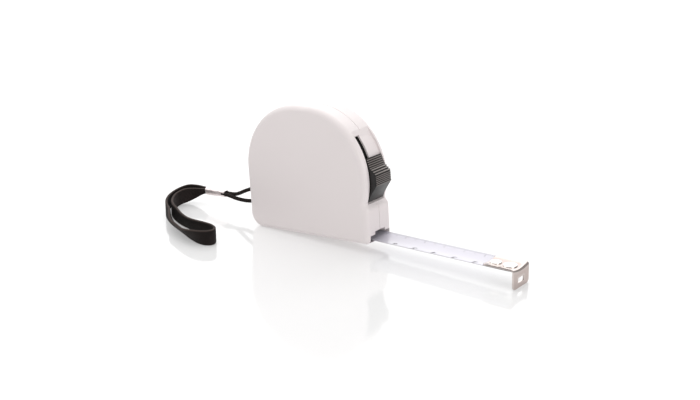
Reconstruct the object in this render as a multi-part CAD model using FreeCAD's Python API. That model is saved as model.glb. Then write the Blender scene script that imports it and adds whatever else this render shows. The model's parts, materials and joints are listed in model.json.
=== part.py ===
"""Pocket tape measure: split plastic case, sprung reel, steel blade with end hook,
sliding lock button and wrist strap.

Three frames are used, all in millimetres:
  case frame   X forward along the flat base, Z up, Y = 0 on the parting plane, X = 0 at the back
  blade frame  X along the pulled-out blade, Z square to it, origin at the mouth under the blade
  stand frame  the part's own frame: Z = 0 is the table that the heel and the hook tip rest on
Shapes are drawn in the first two and carried into the third by from_case and from_blade.
"""
import FreeCAD, Part
import math
import os
from FreeCAD import Vector, Rotation, Placement

# ---------------------------------------------------------------- case
case_length = 68.0
case_height = 59.5
case_thickness = 18.0
case_wall = 1.6
crown_radius = 31.0          # the two big arcs of the D-shaped outline
heel_radius = 6.5            # bottom rear corner
nose_radius = 2.9            # bottom front corner
waist_angle = 17.0           # the front crown arc runs on this far below the level of its centre
waist_radius = 2.5           # hollow round between the crown arc and the shoulder over the nose
shoulder_radius = 2.9
edge_round = 2.6             # rounding between the sides and the rim
smallest_round = 0.5         # corners of the inside outline are never tighter than this
parting_width = 0.24         # fine groove where the two halves meet round the rim
parting_depth = 0.2

# ---------------------------------------------------------------- blade
blade_length = 3000.0
blade_width = 13.0
blade_thickness = 0.15
blade_sag = 1.0              # depth of the blade's hollow
blade_out = 70.2             # from the nose to the hook's outer face, as it lies
blade_pitch = 1.2            # degrees that the pulled-out blade climbs from the table
mouth_height = 1.3           # underside of the blade over the case's base at the nose
mouth_side_gap = 0.6
mouth_low_gap = 0.35
mouth_high_gap = 0.8
relief_gap = 0.2             # between the rivets' lower ends and the floor under them
wound_pitch = 0.165          # blade thickness and air per turn
blade_spread = 14.0          # run over which the blade takes up its hollow after the coil
flat_sag = 0.02              # hollow left in the blade where it leaves the coil
stop_gap = 0.3               # between the hook and the nose when the blade is wound right in

# ---------------------------------------------------------------- hook
hook_drop = 7.0              # from the blade's underside to the hook's tip
hook_thickness = 0.7
hook_plate_length = 15.0
hook_corner = 1.8
hook_hole_width = 4.8
hook_hole_height = 2.1
hook_hole_over_tip = 2.2
hook_play = 0.7
rivet_shank_radius = 1.2
rivet_head_height = 0.55
upset_radius = 1.8           # flattened lower ends of the rivets
upset_height = 0.2
front_rivet_back = 5.2       # centre of each rivet behind the hook's outer face
rear_rivet_back = 12.0
front_rivet_head = 3.1
rear_rivet_head = 2.6
backing_length = 13.0
backing_thickness = 0.2
backing_width = 9.0
backing_set_back = 1.4       # behind the inside of the hook's leg

# ---------------------------------------------------------------- reel
reel_x = 34.0                # reel axis, from the back of the case
drum_radius = 20.0
drum_wall = 1.0
drum_disc = 0.8
drum_side_gap = 0.2          # room for the coil between the drum's rims, per side
hub_radius = 3.6
hub_length = 1.0
post_radius = 2.2
post_slot = 0.8
post_seat_depth = 0.8
washer_radius = 7.0
washer_thickness = 0.4
spring_thickness = 0.25
spring_side_gap = 0.2
spring_turns = 7
clip_thickness = 0.7
clip_half_angle = 9.0
clip_side_gap = 0.7          # between the spring clip's ends and the spring's edges

# ---------------------------------------------------------------- lock
channel_width = 12.0
channel_depth = 1.0
channel_top_angle = 37.0     # angles are measured at the crown arc's centre, up from the front
channel_low_angle = -19.6
channel_slope = 6.5          # degrees over which the channel's top end rises to the crown
channel_wall = 0.8
slot_low_y = -5.8
slot_width = 4.0
slot_top_angle = 39.2
slot_low_angle = 6.0
lock_travel = 18.0
channel_wall_reach = 3.5     # degrees that the channel's wall runs on past its ends
button_half_angle = 18.7
toe_length = 0.8             # flat end of the button below its smooth underside
toe_height = 0.1
underside_angle = -9.5       # angle and height of each corner of the button's side view
underside_height = 1.9
peak_low_angle = -3.0
peak_low_height = 3.9
peak_top_angle = 5.0
peak_top_height = 3.8
ramp_angle = 10.0
ramp_low_height = 1.4
ramp_top_height = 0.8
ramp_end_gap = 0.2           # degrees of plain rim above the last rib
face_ribs = 6
face_rib_depth = 0.3
step_ribs = 3
step_rib_depth = 0.35
step_rib_share = 0.5
ramp_ribs = 5
ramp_rib_depth = 0.25
stem_low_angle = 9.0
stem_top_angle = 17.5
slider_thickness = 1.0
slider_side_gap = 0.5        # between the slider's edges and the channel's side planes
slider_low_angle = -52.0
slider_top_angle = 40.7      # past the slot's top end, so that it closes the slot from behind
shoe_length = 2.5
shoe_side_gap = 1.0
rail_thickness = 1.0
rail_lap = 1.2               # how far each rail reaches under the slider
rail_low_angle = -12.0
rail_top_angle = 38.0

# ---------------------------------------------------------------- fasteners and strap eye
boss_radius = 2.6
screw_radius = 0.95
screw_head_radius = 1.9
screw_head_height = 1.3
screw_sink = 3.2             # depth of the counterbore from the outside
screw_end_gap = 0.6          # between a screw's point and the bottom of its hole
screw_hole_floor = 0.4
cross_arm = 1.1              # cross recess in each screw head
cross_half = 0.2
cross_floor = 0.6
eye_height = 13.0            # centre of the strap eye above the base
eye_opening = 9.2
eye_width = 4.8
eye_depth = 7.4
eye_wall = 1.6
eye_pin_radius = 1.0
eye_pin_inset = 3.4
cord_diameter = 1.8
webbing_width = 7.3
webbing_thickness = 1.1
ferrule_length = 12.6
ferrule_width = 3.9
ferrule_depth = 4.1
ferrule_round = 0.42         # rounding of the ferrule's long edges, as a share of its height
bend_share = 0.45            # share of the shorter run that each bend of a cord takes up

# ---------------------------------------------------------------- clearances
fit = 0.05                   # running fit of the reel on its post, per side
slide_gap = 0.3              # between sliding or turning neighbours
seat_gap = 0.1               # between pieces that sit together
hook_gap = 0.15              # between the hook's plate and the blade
past = 1.0                   # how far a cutter reaches past the face that it cuts

# ---------------------------------------------------------------- worked-out values
half = case_thickness / 2
inner_half = half - case_wall
drum_width = blade_width + 2 * drum_side_gap
spring_width = drum_width - 2 * (drum_disc + hub_length + spring_side_gap)
arc_x = case_length - crown_radius            # centre of the front crown arc
arc_z = case_height - crown_radius
channel_floor = crown_radius - channel_depth
channel_back = channel_floor - channel_wall
slider_width = channel_width - 2 * slider_side_gap
shoe_width = slider_width - 2 * shoe_side_gap
base_run = case_length - heel_radius          # heel contact to nose

PITCH = math.radians(blade_pitch)


# underside of the blade over the table at the mouth, set by the hook standing on its tip
mouth_stand = hook_drop * math.cos(PITCH) - (blade_out - hook_thickness) * math.sin(PITCH)


def lean_angle():
    """Nose-up lean of the case when the round of its heel and the hook's tip both touch the table."""
    mouth_over_heel = mouth_height - heel_radius
    reach = math.hypot(base_run, mouth_over_heel)
    return (math.asin((mouth_stand - heel_radius) / reach)
            - math.atan2(mouth_over_heel, base_run))


LEAN = lean_angle()
DIP = LEAN - PITCH                            # the blade's dip in the case frame


def blade_to_case(x, z):
    """A blade-frame point in the case frame."""
    return (case_length + x * math.cos(DIP) + z * math.sin(DIP),
            mouth_height - x * math.sin(DIP) + z * math.cos(DIP))


def case_to_blade(x, z):
    dx, dz = x - case_length, z - mouth_height
    return (dx * math.cos(DIP) - dz * math.sin(DIP), dx * math.sin(DIP) + dz * math.cos(DIP))


wound_length = blade_length - blade_out - (case_length - reel_x)
coil_radius = math.sqrt(drum_radius ** 2 + wound_length * wound_pitch / math.pi)
# the blade leaves the underside of the coil, so the reel stands one coil radius over its line
reel_over_line = blade_thickness + slide_gap + coil_radius
reel_along = (reel_x - case_length - reel_over_line * math.sin(DIP)) / math.cos(DIP)
reel_z = blade_to_case(reel_along, reel_over_line)[1]
# radians of reel per metre of blade, at the mean radius of the coil
reel_ratio = 1000.0 / ((coil_radius + drum_radius) / 2)
# travel back into the case, and the stiff stretch that stops short of the coil at its end
blade_in = blade_out - hook_thickness - hook_play - stop_gap
coil_clear = math.sqrt(2 * coil_radius * (blade_sag + slide_gap))
front_length = blade_out - blade_in - reel_along - coil_clear
plate_low = blade_thickness + hook_gap        # underside of the hook's plate over the blade's
rivet_low = -hook_gap - backing_thickness - upset_height

heel_to_crown = arc_z - heel_radius
back_x = (crown_radius - heel_radius) * math.cos(LEAN) - heel_to_crown * math.sin(LEAN) - crown_radius
nose_x = base_run * math.cos(LEAN) - (mouth_height - heel_radius) * math.sin(LEAN)
hook_x = nose_x + blade_out * math.cos(PITCH)
stand_shift = -(back_x + hook_x) / 2          # puts the origin under the middle of the part


def stand_point(x, z):
    """A case-frame point in the stand frame."""
    dx, dz = x - heel_radius, z - heel_radius
    return (stand_shift + dx * math.cos(LEAN) - dz * math.sin(LEAN),
            heel_radius + dx * math.sin(LEAN) + dz * math.cos(LEAN))


def from_case(shape):
    turned = shape.copy()
    turned.translate(Vector(-heel_radius, 0, -heel_radius))
    turned.rotate(Vector(0, 0, 0), Vector(0, 1, 0), -math.degrees(LEAN))
    turned.translate(Vector(stand_shift, 0, heel_radius))
    return turned


def from_blade(shape):
    turned = shape.copy()
    turned.rotate(Vector(0, 0, 0), Vector(0, 1, 0), math.degrees(DIP))
    turned.translate(Vector(case_length, 0, mouth_height))
    return from_case(turned)


# ---------------------------------------------------------------- drawing helpers
def box(x0, x1, y0, y1, z0, z1):
    return Part.makeBox(x1 - x0, y1 - y0, z1 - z0, Vector(x0, y0, z0))


def rod(x, z, y0, y1, radius):
    """Cylinder along Y."""
    return Part.makeCylinder(radius, y1 - y0, Vector(x, y0, z), Vector(0, 1, 0))


def ring(x, z, y0, y1, inner, outer):
    return rod(x, z, y0, y1, outer).cut(rod(x, z, y0 - 1, y1 + 1, inner))


def polar(radius, angle, x=None, z=None):
    """Point at an angle round the crown arc's centre, or round x, z."""
    cx = arc_x if x is None else x
    cz = arc_z if z is None else z
    a = math.radians(angle)
    return Vector(cx + radius * math.cos(a), 0, cz + radius * math.sin(a))


def extrude_xz(edges, y0, y1):
    face = Part.Face(Part.Wire(edges))
    face.translate(Vector(0, y0, 0))
    return face.extrude(Vector(0, y1 - y0, 0))


def sector(inner, outer, low, high, y0, y1, x=None, z=None):
    """Curved block between two radii and two angles."""
    a, b = polar(inner, low, x, z), polar(outer, low, x, z)
    c, d = polar(outer, high, x, z), polar(inner, high, x, z)
    mid = (low + high) / 2
    edges = [Part.LineSegment(a, b).toShape(),
             Part.Arc(b, polar(outer, mid, x, z), c).toShape(),
             Part.LineSegment(c, d).toShape(),
             Part.Arc(d, polar(inner, mid, x, z), a).toShape()]
    return extrude_xz(edges, y0, y1)


def corner_arc(cx, cz, radius, start, end):
    mid = (start + end) / 2
    return Part.Arc(polar(radius, start, cx, cz), polar(radius, mid, cx, cz),
                    polar(radius, end, cx, cz)).toShape()


def case_outline(inset):
    """Edges of the D-shaped side view with its shouldered nose, moved inwards by inset."""
    x0, x1, z0, z1 = inset, case_length - inset, inset, case_height - inset
    heel = max(heel_radius - inset, smallest_round)
    nose = max(nose_radius - inset, smallest_round)
    crown = crown_radius - inset
    low_left, low_right = x0 + heel, x1 - nose
    waist = polar(crown_radius + waist_radius, -waist_angle)
    between = waist_radius + shoulder_radius
    meet = math.acos((waist.x + shoulder_radius - case_length) / between)
    shoulder_x, shoulder_z = case_length - shoulder_radius, waist.z - between * math.sin(meet)
    tilt = math.degrees(meet)
    return [Part.LineSegment(Vector(low_left, 0, z0), Vector(low_right, 0, z0)).toShape(),
            corner_arc(low_right, z0 + nose, nose, -90, 0),
            Part.LineSegment(Vector(x1, 0, z0 + nose), Vector(x1, 0, shoulder_z)).toShape(),
            corner_arc(shoulder_x, shoulder_z, shoulder_radius - inset, 0, tilt),
            corner_arc(waist.x, waist.z, waist_radius + inset, 180 + tilt, 180 - waist_angle),
            corner_arc(arc_x, arc_z, crown, -waist_angle, 90),
            Part.LineSegment(Vector(arc_x, 0, z1), Vector(crown_radius, 0, z1)).toShape(),
            corner_arc(crown_radius, arc_z, crown, 90, 180),
            Part.LineSegment(Vector(x0, 0, arc_z), Vector(x0, 0, z0 + heel)).toShape(),
            corner_arc(low_left, z0 + heel, heel, 180, 270)]


def hollow_strip(x0, x1, width, low, thickness):
    """Blade-shaped strip: hollow on top, low is the height of its underside's middle."""
    edge = width / 2
    sag = blade_sag * (width / blade_width) ** 2
    under = Part.Arc(Vector(x0, -edge, low + sag), Vector(x0, 0, low),
                     Vector(x0, edge, low + sag)).toShape()
    over = Part.Arc(Vector(x0, edge, low + sag + thickness), Vector(x0, 0, low + thickness),
                    Vector(x0, -edge, low + sag + thickness)).toShape()
    sides = [Part.LineSegment(Vector(x0, y, low + sag), Vector(x0, y, low + sag + thickness)).toShape()
             for y in (edge, -edge)]
    wire = Part.Wire([under, sides[0], over, sides[1]])
    return Part.Face(wire).extrude(Vector(x1 - x0, 0, 0))


# ---------------------------------------------------------------- case shells
boss_places = [(10.5, case_height - 13.5), (arc_x + 6.0, case_height - 5.6),
               (5.4, 24.5), (case_length - 3.3, 12.2)]


def mouth_cutter():
    """Hat-shaped opening: the brim passes the blade and hook, the crown the rivets, and a
    shallow relief in the floor passes the backing plate and the rivets' lower ends."""
    edge = blade_width / 2 + mouth_side_gap
    low = -mouth_low_gap
    plate_top = blade_thickness + hook_gap + hook_thickness
    brim = plate_top + blade_sag + mouth_high_gap
    crown = brim + rivet_head_height + mouth_high_gap
    head = front_rivet_head + mouth_side_gap
    depth = 2 * nose_radius
    relief = backing_width / 2 + mouth_side_gap
    cut = box(-depth, nose_radius, -edge, edge, low, brim)
    cut = cut.fuse(box(-depth, nose_radius, -head, head, low, crown))
    cut = cut.fuse(box(-hook_plate_length - hook_play - past, nose_radius, -relief, relief,
                       rivet_low - relief_gap, brim))
    shape = cut.copy()
    shape.rotate(Vector(0, 0, 0), Vector(0, 1, 0), math.degrees(DIP))
    shape.translate(Vector(case_length, 0, mouth_height))
    return shape


def channel_cutter():
    """The button's curved channel, whose top end slopes up to meet the crown."""
    edge = channel_width / 2
    channel = sector(channel_floor, crown_radius + 4 * past, channel_low_angle,
                     channel_top_angle, -edge, edge)
    foot = polar(channel_floor, channel_top_angle)
    lip = polar(crown_radius, channel_top_angle + channel_slope)
    corners = [foot, lip + (lip - foot) * 0.5, polar(crown_radius + 4 * past, channel_top_angle)]
    slope = extrude_xz([Part.LineSegment(a, b).toShape()
                        for a, b in zip(corners, corners[1:] + corners[:1])], -edge, edge)
    return channel.fuse(slope)


def whole_case():
    """Both halves in one, before they are parted."""
    body = extrude_xz(case_outline(0), -half, half)
    rim_edges = [e for e in body.Edges
                 if abs(abs(e.BoundBox.YMin) - half) < 1e-6 and e.BoundBox.YLength < 1e-6]
    body = body.makeFillet(edge_round, rim_edges)
    groove = extrude_xz(case_outline(-past), -parting_width / 2, parting_width / 2)
    body = body.cut(groove.cut(extrude_xz(case_outline(parting_depth), -past, past)))
    body = body.cut(extrude_xz(case_outline(case_wall), -inner_half, inner_half))

    root = inner_half + case_wall / 2        # pieces are rooted half way into the side walls
    backing = sector(channel_back, crown_radius - case_wall / 2,
                     channel_low_angle - channel_wall_reach,
                     channel_top_angle + channel_wall_reach, -root, root)
    eye_half = eye_opening / 2
    eye_side = eye_width / 2 + eye_wall + case_wall / 2
    eye_block = box(case_wall / 2, eye_depth + eye_wall, -eye_side, eye_side,
                    eye_height - eye_half - eye_wall, eye_height + eye_half + eye_wall)
    body = body.fuse([backing, eye_block])
    for x, z in boss_places:
        body = body.fuse(rod(x, z, -root, root, boss_radius))
    rail_out = channel_back - slider_thickness - 2 * slide_gap
    rail_edge = slider_width / 2 - rail_lap
    for y0, y1 in ((-root, -rail_edge), (rail_edge, root)):
        body = body.fuse(sector(rail_out - rail_thickness, rail_out, rail_low_angle,
                                rail_top_angle, y0, y1))

    body = body.cut(channel_cutter())
    body = body.cut(sector(channel_back - past, channel_floor + past, slot_low_angle, slot_top_angle,
                           slot_low_y, slot_low_y + slot_width))
    body = body.cut(mouth_cutter())
    body = body.cut(box(-past, eye_depth, -eye_width / 2, eye_width / 2,
                        eye_height - eye_half, eye_height + eye_half))
    body = body.cut(rod(eye_pin_inset, eye_height, -eye_width / 2 - eye_wall, eye_width / 2 + eye_wall,
                        eye_pin_radius))
    seat = inner_half + post_seat_depth
    body = body.cut(rod(reel_x, reel_z, -seat, seat, post_radius))
    for x, z in boss_places:
        body = body.cut(rod(x, z, -inner_half + screw_hole_floor, half, screw_radius))
        body = body.cut(rod(x, z, half - screw_sink, half + past, screw_head_radius + seat_gap))
    return body


def split_case():
    """The two halves: the plain one and the one with the screws."""
    body = whole_case()
    reach = case_length + case_height
    plain = body.common(box(-reach, reach, -case_thickness, 0, -reach, reach))
    screwed = body.common(box(-reach, reach, 0, case_thickness, -reach, reach))
    return plain, screwed


def case_screws():
    pieces = []
    for x, z in boss_places:
        head_low = half - screw_sink
        point = -inner_half + screw_hole_floor + screw_end_gap
        screw = rod(x, z, point, head_low + cross_floor, screw_radius)
        head = rod(x, z, head_low, head_low + screw_head_height, screw_head_radius)
        for wide, tall in ((cross_arm, cross_half), (cross_half, cross_arm)):
            head = head.cut(box(x - wide, x + wide, head_low + cross_floor, half, z - tall, z + tall))
        pieces.append(screw.fuse(head))
    return Part.makeCompound(pieces)


# ---------------------------------------------------------------- reel
def centre_post():
    reach = inner_half + post_seat_depth - seat_gap
    post = rod(reel_x, reel_z, -reach, reach, post_radius)
    edge = spring_width / 2 + seat_gap
    return post.cut(box(reel_x - 2 * post_radius, reel_x + 2 * post_radius, -edge, edge,
                        reel_z - post_slot / 2, reel_z + post_slot / 2))


def reel_washers():
    bore = post_radius + fit
    low = drum_width / 2 + seat_gap
    return Part.makeCompound([ring(reel_x, reel_z, low, low + washer_thickness, bore, washer_radius),
                              ring(reel_x, reel_z, -low - washer_thickness, -low, bore, washer_radius)])


def reel_drum():
    low, high = -drum_width / 2, drum_width / 2 - drum_disc
    wall = ring(reel_x, reel_z, low, high, drum_radius - drum_wall, drum_radius)
    disc = rod(reel_x, reel_z, low, low + drum_disc, drum_radius - drum_wall / 2)
    hub = rod(reel_x, reel_z, low, low + drum_disc + hub_length, hub_radius)
    return wall.fuse([disc, hub]).cut(rod(reel_x, reel_z, low - past, high + past,
                                          post_radius + fit))


def drum_cover():
    high = drum_width / 2
    disc = rod(reel_x, reel_z, high - drum_disc, high, drum_radius)
    return disc.cut(rod(reel_x, reel_z, -high, high + past, post_radius + fit))


def blade_coil():
    edge = blade_width / 2
    return ring(reel_x, reel_z, -edge, edge, drum_radius, coil_radius)


def spring_clip():
    outer = drum_radius - drum_wall
    return sector(outer - clip_thickness, outer, 180 - clip_half_angle, 180 + clip_half_angle,
                  -spring_width / 2 + clip_side_gap, spring_width / 2 - clip_side_gap,
                  reel_x, reel_z)


def mainspring():
    """Flat spiral of half circles about two centres, from the slot in the post to the clip."""
    start = hub_radius + 3 * spring_thickness
    end = drum_radius - drum_wall - clip_thickness - spring_thickness - seat_gap
    step = (end - start) / (2 * spring_turns)
    inner, outer = [], []
    for i in range(2 * spring_turns):
        side = 1 if i % 2 == 0 else -1
        centre = reel_x if i % 2 == 0 else reel_x - step
        for offset, run in ((0, inner), (spring_thickness, outer)):
            r = start + i * step + offset
            run.append(Part.Arc(Vector(centre - side * r, 0, reel_z), Vector(centre, 0, reel_z + side * r),
                                Vector(centre + side * r, 0, reel_z)).toShape())
    caps = [Part.LineSegment(Vector(reel_x - r, 0, reel_z),
                             Vector(reel_x - r - spring_thickness, 0, reel_z)).toShape()
            for r in (start, end)]
    spiral = extrude_xz(inner + [caps[1]] + outer[::-1] + [caps[0]],
                        -spring_width / 2, spring_width / 2)
    tongue = box(reel_x - start - spring_thickness, reel_x + post_radius / 2,
                 -spring_width / 2, spring_width / 2,
                 reel_z - spring_thickness / 2, reel_z + spring_thickness / 2)
    return spiral.fuse(tongue)


# ---------------------------------------------------------------- blade and hook
def upright(x, low, high, radius, y=0.0):
    """Cylinder square to the blade."""
    return Part.makeCylinder(radius, high - low, Vector(x, y, low))


def rivet_slot(back):
    """Slot that lets a rivet move by the hook's play, which keeps the zero true."""
    radius = rivet_shank_radius + seat_gap
    place = blade_out - back
    ends = [upright(x, -hook_drop, hook_drop, radius) for x in (place, place - hook_play)]
    return box(place - hook_play, place, -radius, radius, -hook_drop, hook_drop).fuse(ends)


def blade_front():
    tip = blade_out - hook_thickness - seat_gap - hook_play
    strip = hollow_strip(blade_out - front_length, tip, blade_width, 0, blade_thickness)
    for back in (front_rivet_back, rear_rivet_back):
        strip = strip.cut(rivet_slot(back))
    return strip


def blade_run():
    """The stretch that comes off the coil flat and takes up the hollow section."""
    flat_x = reel_along
    hollow_x = reel_along + blade_spread
    edge = blade_width / 2

    def section(x, sag):
        mid_low, side_low = Vector(x, 0, 0), sag
        pts = [Vector(x, -edge, side_low), mid_low, Vector(x, edge, side_low)]
        top = [p + Vector(0, 0, blade_thickness) for p in reversed(pts)]
        return Part.Wire([Part.Arc(*pts).toShape(),
                          Part.LineSegment(pts[2], top[0]).toShape(),
                          Part.Arc(*top).toShape(),
                          Part.LineSegment(top[2], pts[0]).toShape()])

    spread = Part.makeLoft([section(flat_x, flat_sag), section(hollow_x, blade_sag)], True, True)
    rest = hollow_strip(hollow_x, blade_out - front_length, blade_width, 0, blade_thickness)
    return spread.fuse(rest)


def hook_profile(low_z, top_z):
    """Outline of the hook's leg seen along the blade."""
    edge = blade_width / 2
    c = hook_corner
    k = c * (1 - math.sqrt(0.5))
    sag = blade_sag
    pts = [Vector(0, -edge, top_z + sag), Vector(0, -edge, low_z + c), Vector(0, -edge + k, low_z + k),
           Vector(0, -edge + c, low_z), Vector(0, edge - c, low_z), Vector(0, edge - k, low_z + k),
           Vector(0, edge, low_z + c), Vector(0, edge, top_z + sag), Vector(0, 0, top_z)]
    return Part.Wire([Part.LineSegment(pts[0], pts[1]).toShape(),
                      Part.Arc(pts[1], pts[2], pts[3]).toShape(),
                      Part.LineSegment(pts[3], pts[4]).toShape(),
                      Part.Arc(pts[4], pts[5], pts[6]).toShape(),
                      Part.LineSegment(pts[6], pts[7]).toShape(),
                      Part.Arc(pts[7], pts[8], pts[0]).toShape()])


def end_hook():
    """Hollow plate on the blade's top face, bent down into a leg with a nail hole."""
    plate = hollow_strip(blade_out - hook_plate_length, blade_out - hook_thickness / 2,
                         blade_width, plate_low, hook_thickness)
    edge = blade_width / 2
    back = blade_out - hook_plate_length
    inset = edge - hook_corner
    for low_y, high_y, middle in ((-edge, -inset, -inset), (inset, edge, inset)):
        corner = box(back - past, back + hook_corner, low_y, high_y, -hook_drop, hook_drop)
        keep = upright(back + hook_corner, -hook_drop, hook_drop, hook_corner, middle)
        plate = plate.cut(corner.cut(keep))
    leg = Part.Face(hook_profile(-hook_drop, plate_low + hook_thickness))
    leg = leg.extrude(Vector(hook_thickness, 0, 0))
    leg.translate(Vector(blade_out - hook_thickness, 0, 0))
    hole_low = hook_hole_over_tip - hook_drop
    hole = box(blade_out - hook_thickness - past, blade_out + past, -hook_hole_width / 2,
               hook_hole_width / 2, hole_low, hole_low + hook_hole_height)
    hook = plate.fuse(leg).cut(hole)
    for place in (front_rivet_back, rear_rivet_back):
        hook = hook.cut(upright(blade_out - place, -hook_drop, hook_drop, rivet_shank_radius))
    return hook.removeSplitter()


def hook_rivet(back, head_radius):
    """Rivet with a low domed head on the hook and a flat upset end under the backing plate."""
    place = blade_out - back
    plate_top = plate_low + hook_thickness
    bottom = -backing_thickness - hook_gap
    shank = upright(place, bottom, plate_top + rivet_head_height / 2, rivet_shank_radius)
    dome_radius = (head_radius ** 2 + rivet_head_height ** 2) / (2 * rivet_head_height)
    seat = plate_top + blade_sag * (head_radius / (blade_width / 2)) ** 2
    ball = Part.makeSphere(dome_radius, Vector(place, 0, seat + rivet_head_height - dome_radius))
    head = ball.common(upright(place, plate_top, plate_top + hook_drop, head_radius))
    head = head.cut(hollow_strip(place - blade_width, place + blade_width, blade_width, plate_low,
                                 hook_thickness))
    return shank.fuse([head, upright(place, rivet_low, bottom, upset_radius)])


def backing_plate():
    """Thin strip under the blade that the rivets' lower ends bear on."""
    front = blade_out - hook_thickness - backing_set_back
    plate = hollow_strip(front - backing_length, front, backing_width,
                         -hook_gap - backing_thickness, backing_thickness)
    for back in (front_rivet_back, rear_rivet_back):
        plate = plate.cut(upright(blade_out - back, -hook_drop, hook_drop, rivet_shank_radius))
    return plate


# ---------------------------------------------------------------- lock
def ribbed(start, end, count, depth, share=0.55):
    """Points along a line from start to end with count raised ribs, outside on the left."""
    run = end - start
    out = Vector(run.z, 0, -run.x).normalize()
    points = []
    for i in range(count):
        low, high = i / count, (i + share) / count
        points += [start + run * low, start + run * low + out * depth,
                   start + run * high + out * depth, start + run * high]
    return points


def button_profile():
    """Side view of the lock button, from its bottom up the outside to its top."""
    seat = channel_floor + slide_gap
    low, top = polar(seat, -button_half_angle), polar(seat, button_half_angle)
    toe = low + Vector(toe_length, 0, toe_height)
    peak_low = polar(seat + peak_low_height, peak_low_angle)
    peak_top = polar(seat + peak_top_height, peak_top_angle)
    ramp_low = polar(seat + ramp_low_height, ramp_angle)
    ramp_top = polar(seat + ramp_top_height, button_half_angle - ramp_end_gap)
    points = [low, toe, polar(seat + underside_height, underside_angle)]
    points += ribbed(peak_low, peak_top, face_ribs, face_rib_depth)
    points += ribbed(peak_top, ramp_low, step_ribs, step_rib_depth, step_rib_share)
    points += ribbed(ramp_low, ramp_top, ramp_ribs, ramp_rib_depth)
    points += [ramp_top, top]
    return points, seat


def lock_button():
    points, seat = button_profile()
    edges = [Part.LineSegment(a, b).toShape() for a, b in zip(points, points[1:])
             if a.distanceToPoint(b) > 1e-6]
    edges.append(Part.Arc(points[-1], polar(seat, 0), points[0]).toShape())
    edge = channel_width / 2 - slide_gap
    body = extrude_xz(edges, -edge, edge)
    stem = sector(channel_back - slide_gap, seat + slide_gap, stem_low_angle, stem_top_angle,
                  slot_low_y + slide_gap, slot_low_y + slot_width - slide_gap)
    return body.fuse(stem)


def lock_slider():
    """Curved plate behind the channel, whose tail carries the brake shoe down to the blade."""
    outer = channel_back - slide_gap
    return sector(outer - slider_thickness, outer, slider_low_angle, slider_top_angle,
                  -slider_width / 2, slider_width / 2)


def brake_shoe():
    """Rubber block on the slider's tail that wedges the blade, just behind the wound-in hook."""
    tail = polar(channel_back - slide_gap, slider_low_angle)
    front = blade_out - hook_plate_length - blade_in - hook_play - slide_gap
    low = blade_thickness + blade_sag * (shoe_width / blade_width) ** 2 + slide_gap
    high = case_to_blade(tail.x, tail.z)[1] + 2 * slider_thickness
    block = box(front - shoe_length, front, -shoe_width / 2, shoe_width / 2, low, high)
    block.rotate(Vector(0, 0, 0), Vector(0, 1, 0), math.degrees(DIP))
    block.translate(Vector(case_length, 0, mouth_height))
    return block.cut(lock_slider())


# ---------------------------------------------------------------- strap
def arc_path(points, label):
    """Straight runs joined by tangent arcs, each as large as its two runs allow."""
    edges, last = [], points[0]
    radii = []
    for before, corner, after in zip(points, points[1:], points[2:]):
        back, on = before - corner, after - corner
        run = min(back.Length, on.Length)
        turn = math.pi - back.getAngle(on)
        reach = bend_share * run
        radius = reach / math.tan(turn / 2)
        radii.append(radius)
        u, v = Vector(back).normalize(), Vector(on).normalize()
        start, end = corner + u * reach, corner + v * reach
        bisector = (u + v).normalize()
        centre = corner + bisector * math.hypot(radius, reach)
        middle = centre - bisector * radius
        edges.append(Part.LineSegment(last, start).toShape())
        edges.append(Part.Arc(start, middle, end).toShape())
        last = end
    edges.append(Part.LineSegment(last, points[-1]).toShape())
    wire = Part.Wire(edges)
    print(label, "length %.1f" % wire.Length, "radii", " ".join("%.1f" % r for r in radii))
    return wire


eye_x, eye_z = stand_point(0, eye_height)

# routes are chosen by hand, measured from the middle of the strap eye at the case's back
ferrule_right = Vector(-22.5, 0.2, -4.25)
ferrule_left = Vector(-35.0, 0.6, -5.1)
cord_route = [(-22.5, 1.15, -4.25), (-19.0, 1.1, -4.1), (-15.5, 0.9, -3.2), (-10.5, 0.5, -0.5),
              (-4.5, 0.2, 2.2), (0.9, 0.0, 3.0), (6.0, 0.0, 2.5), (6.0, 0.0, -2.5),
              (0.9, 0.0, -3.0), (-4.5, -0.2, -4.3), (-9.5, -0.4, -5.1), (-14.5, -0.7, -5.1),
              (-19.0, -0.8, -4.5), (-22.5, -0.75, -4.25)]
webbing_route = [(-35.1, 1.3, -5.0), (-41.5, 1.8, -6.2), (-47.2, -2.0, -7.5), (-48.2, -9.2, -8.5),
                 (-44.9, -17.6, -8.8), (-37.7, -25.6, -8.8), (-27.8, -31.6, -8.8),
                 (-16.6, -36.1, -8.8), (-6.4, -40.8, -8.8), (1.4, -42.9, -8.8),
                 (5.6, -40.0, -8.8), (3.2, -35.4, -8.8), (-5.4, -33.0, -8.8), (-15.6, -31.4, -8.8),
                 (-26.2, -28.4, -8.8), (-36.3, -23.3, -8.8), (-43.3, -15.1, -8.7),
                 (-45.4, -7.9, -8.3), (-42.6, -2.2, -7.4), (-38.6, -0.4, -6.1), (-35.1, -0.1, -5.2)]


def from_eye(route):
    return [Vector(eye_x + x, y, eye_z + z) for x, y, z in route]


def strap_cord():
    """Thin cord from the ferrule, round the pin in the eye and back."""
    points = from_eye(cord_route)
    path = arc_path(points, "cord")
    start = (points[1] - points[0]).normalize()
    circle = Part.Wire(Part.makeCircle(cord_diameter / 2, points[0], start))
    solid = path.makePipeShell([circle], True, False)
    print("cord volume %.1f of %.1f" % (solid.Volume, path.Length * math.pi * (cord_diameter / 2) ** 2))
    return solid


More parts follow.
